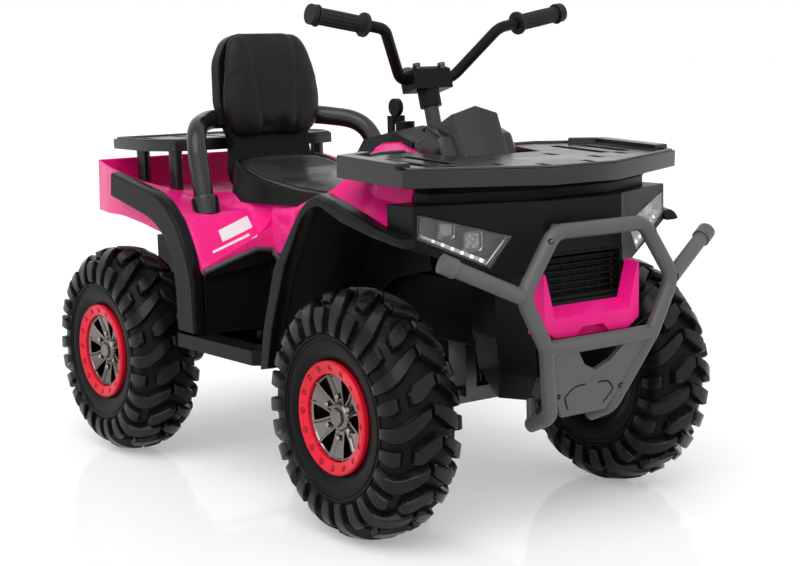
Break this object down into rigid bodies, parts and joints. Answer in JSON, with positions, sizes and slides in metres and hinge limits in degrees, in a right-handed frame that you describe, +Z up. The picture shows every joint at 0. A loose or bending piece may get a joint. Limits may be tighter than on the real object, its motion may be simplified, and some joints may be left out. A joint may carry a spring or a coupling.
{
  "type": "kids quad bike",
  "caption": "Battery ride-on quad bike for a child, with lugged tyres, a steered front axle, twin geared motors, a padded seat with a backrest, racks and a bull bar.",
  "frame": {"origin": "on the ground, under the middle of the machine's length and width", "axes": "+X forward, +Y to the rider's left, +Z up"},
  "size_m": [1.1339, 0.6124, 0.7572],
  "materials": {
    "pink_plastic": "glossy moulded plastic, coloured through",
    "black_plastic": "fine-grained moulded plastic",
    "grey_plastic": "fine-grained moulded plastic",
    "bar_grey": "satin moulded tube",
    "tyre_black": "matt moulded tread",
    "rim_chrome": "dark plated plastic",
    "ring_red": "glossy moulded plastic",
    "steel": "zinc plated",
    "seat_leather": "grained synthetic leather",
    "lens_clear": "clear moulded lens",
    "lamp_silver": "metallised reflector",
    "grip_rubber": "ribbed soft grip",
    "battery_case": "smooth case",
    "drive_case": "smooth case"
  },
  "bodies": {
    "chassis": {"chassis_tub": "black_plastic", "battery": "battery_case", "front_axle_beam": "steel", "column_bush": "drive_case", "rear_axle": "steel", "rear_axle_brackets": "black_plastic", "drive_motors": "steel", "rear_body": "pink_plastic", "front_rack": "grey_plastic", "tank_flanks": "pink_plastic", "front_cowl": "pink_plastic", "front_fascia": "black_plastic", "headlamp_housings": "lamp_silver", "headlamp_lenses": "lens_clear", "nose_shell": "black_plastic", "grille": "black_plastic", "nose_mask": "pink_plastic", "dash_hood": "grey_plastic", "tank_cover": "black_plastic", "rear_rack": "grey_plastic", "backrest_frame": "black_plastic", "backrest_cushion": "seat_leather", "seat_base": "black_plastic", "seat_cushion": "seat_leather", "bull_bar": "bar_grey", "bull_bar_plate": "bar_grey", "footboard_right": "black_plastic", "gearbox_right": "drive_case", "rear_trim_right": "black_plastic", "front_fender_right": "black_plastic", "armrest_right": "grey_plastic", "footboard_left": "black_plastic", "gearbox_left": "drive_case", "rear_trim_left": "black_plastic", "front_fender_left": "black_plastic", "armrest_left": "grey_plastic"},
    "steering": {"steering_column": "steel", "handlebar": "black_plastic", "clamp_base": "black_plastic", "clamp_cap": "black_plastic", "clamp_bolts": "steel", "grip_right": "grip_rubber", "grip_left": "grip_rubber"},
    "knuckle_right": {"knuckle_right": "steel"},
    "knuckle_left": {"knuckle_left": "steel"},
    "tie_rod": {"tie_rod": "steel"},
    "front_right_wheel": {"front_right_tyre": "tyre_black", "front_right_rim": "rim_chrome", "front_right_bead_ring": "ring_red"},
    "front_left_wheel": {"front_left_tyre": "tyre_black", "front_left_rim": "rim_chrome", "front_left_bead_ring": "ring_red"},
    "rear_right_wheel": {"rear_right_tyre": "tyre_black", "rear_right_rim": "rim_chrome", "rear_right_bead_ring": "ring_red"},
    "rear_left_wheel": {"rear_left_tyre": "tyre_black", "rear_left_rim": "rim_chrome", "rear_left_bead_ring": "ring_red"},
    "foot_pedal": {"foot_pedal": "black_plastic"},
    "shift_lever": {"shift_lever": "black_plastic"}
  },
  "joints": [
    {"name": "steer", "type": "hinge", "parent": "chassis", "child": "steering", "pos_m": [0.302, 0, 0.1621], "axis": [-0.259, 0, 0.9659], "range_deg": [-20, 20]},
    {"name": "kingpin_right", "type": "hinge", "parent": "chassis", "child": "knuckle_right", "pos_m": [0.327, -0.16, 0.18], "axis": [0, 0, 1], "range_deg": [-20.5, 20.5]},
    {"name": "kingpin_left", "type": "hinge", "parent": "chassis", "child": "knuckle_left", "pos_m": [0.327, 0.16, 0.18], "axis": [0, 0, 1], "range_deg": [-20.5, 20.5]},
    {"name": "tie_rod_pivot", "type": "hinge", "parent": "knuckle_right", "child": "tie_rod", "pos_m": [0.272, -0.16, 0.155], "axis": [0, 0, 1], "range_deg": [-20.5, 20.5]},
    {"name": "front_right_spin", "type": "hinge", "parent": "knuckle_right", "child": "front_right_wheel", "pos_m": [0.327, -0.245, 0.18], "axis": [0, 1, 0], "continuous": true},
    {"name": "front_left_spin", "type": "hinge", "parent": "knuckle_left", "child": "front_left_wheel", "pos_m": [0.327, 0.245, 0.18], "axis": [0, 1, 0], "continuous": true},
    {"name": "rear_right_spin", "type": "hinge", "parent": "chassis", "child": "rear_right_wheel", "pos_m": [-0.387, -0.245, 0.18], "axis": [0, 1, 0], "continuous": true},
    {"name": "rear_left_spin", "type": "hinge", "parent": "chassis", "child": "rear_left_wheel", "pos_m": [-0.387, 0.245, 0.18], "axis": [0, 1, 0], "continuous": true},
    {"name": "pedal_press", "type": "hinge", "parent": "chassis", "child": "foot_pedal", "pos_m": [-0.012, -0.178, 0.245], "axis": [0, 1, 0], "range_deg": [0, 12], "stiffness_Nm_per_rad": 2, "springref_deg": -6.88},
    {"name": "lever_shift", "type": "hinge", "parent": "chassis", "child": "shift_lever", "pos_m": [0.093, 0, 0.579], "axis": [0, 1, 0], "range_deg": [-15, 15]}
  ],
  "couplings": [
    {"joint": "kingpin_right", "follows": "steer", "ratio": 1},
    {"joint": "kingpin_left", "follows": "steer", "ratio": 1},
    {"joint": "tie_rod_pivot", "follows": "steer", "ratio": -1}
  ]
}
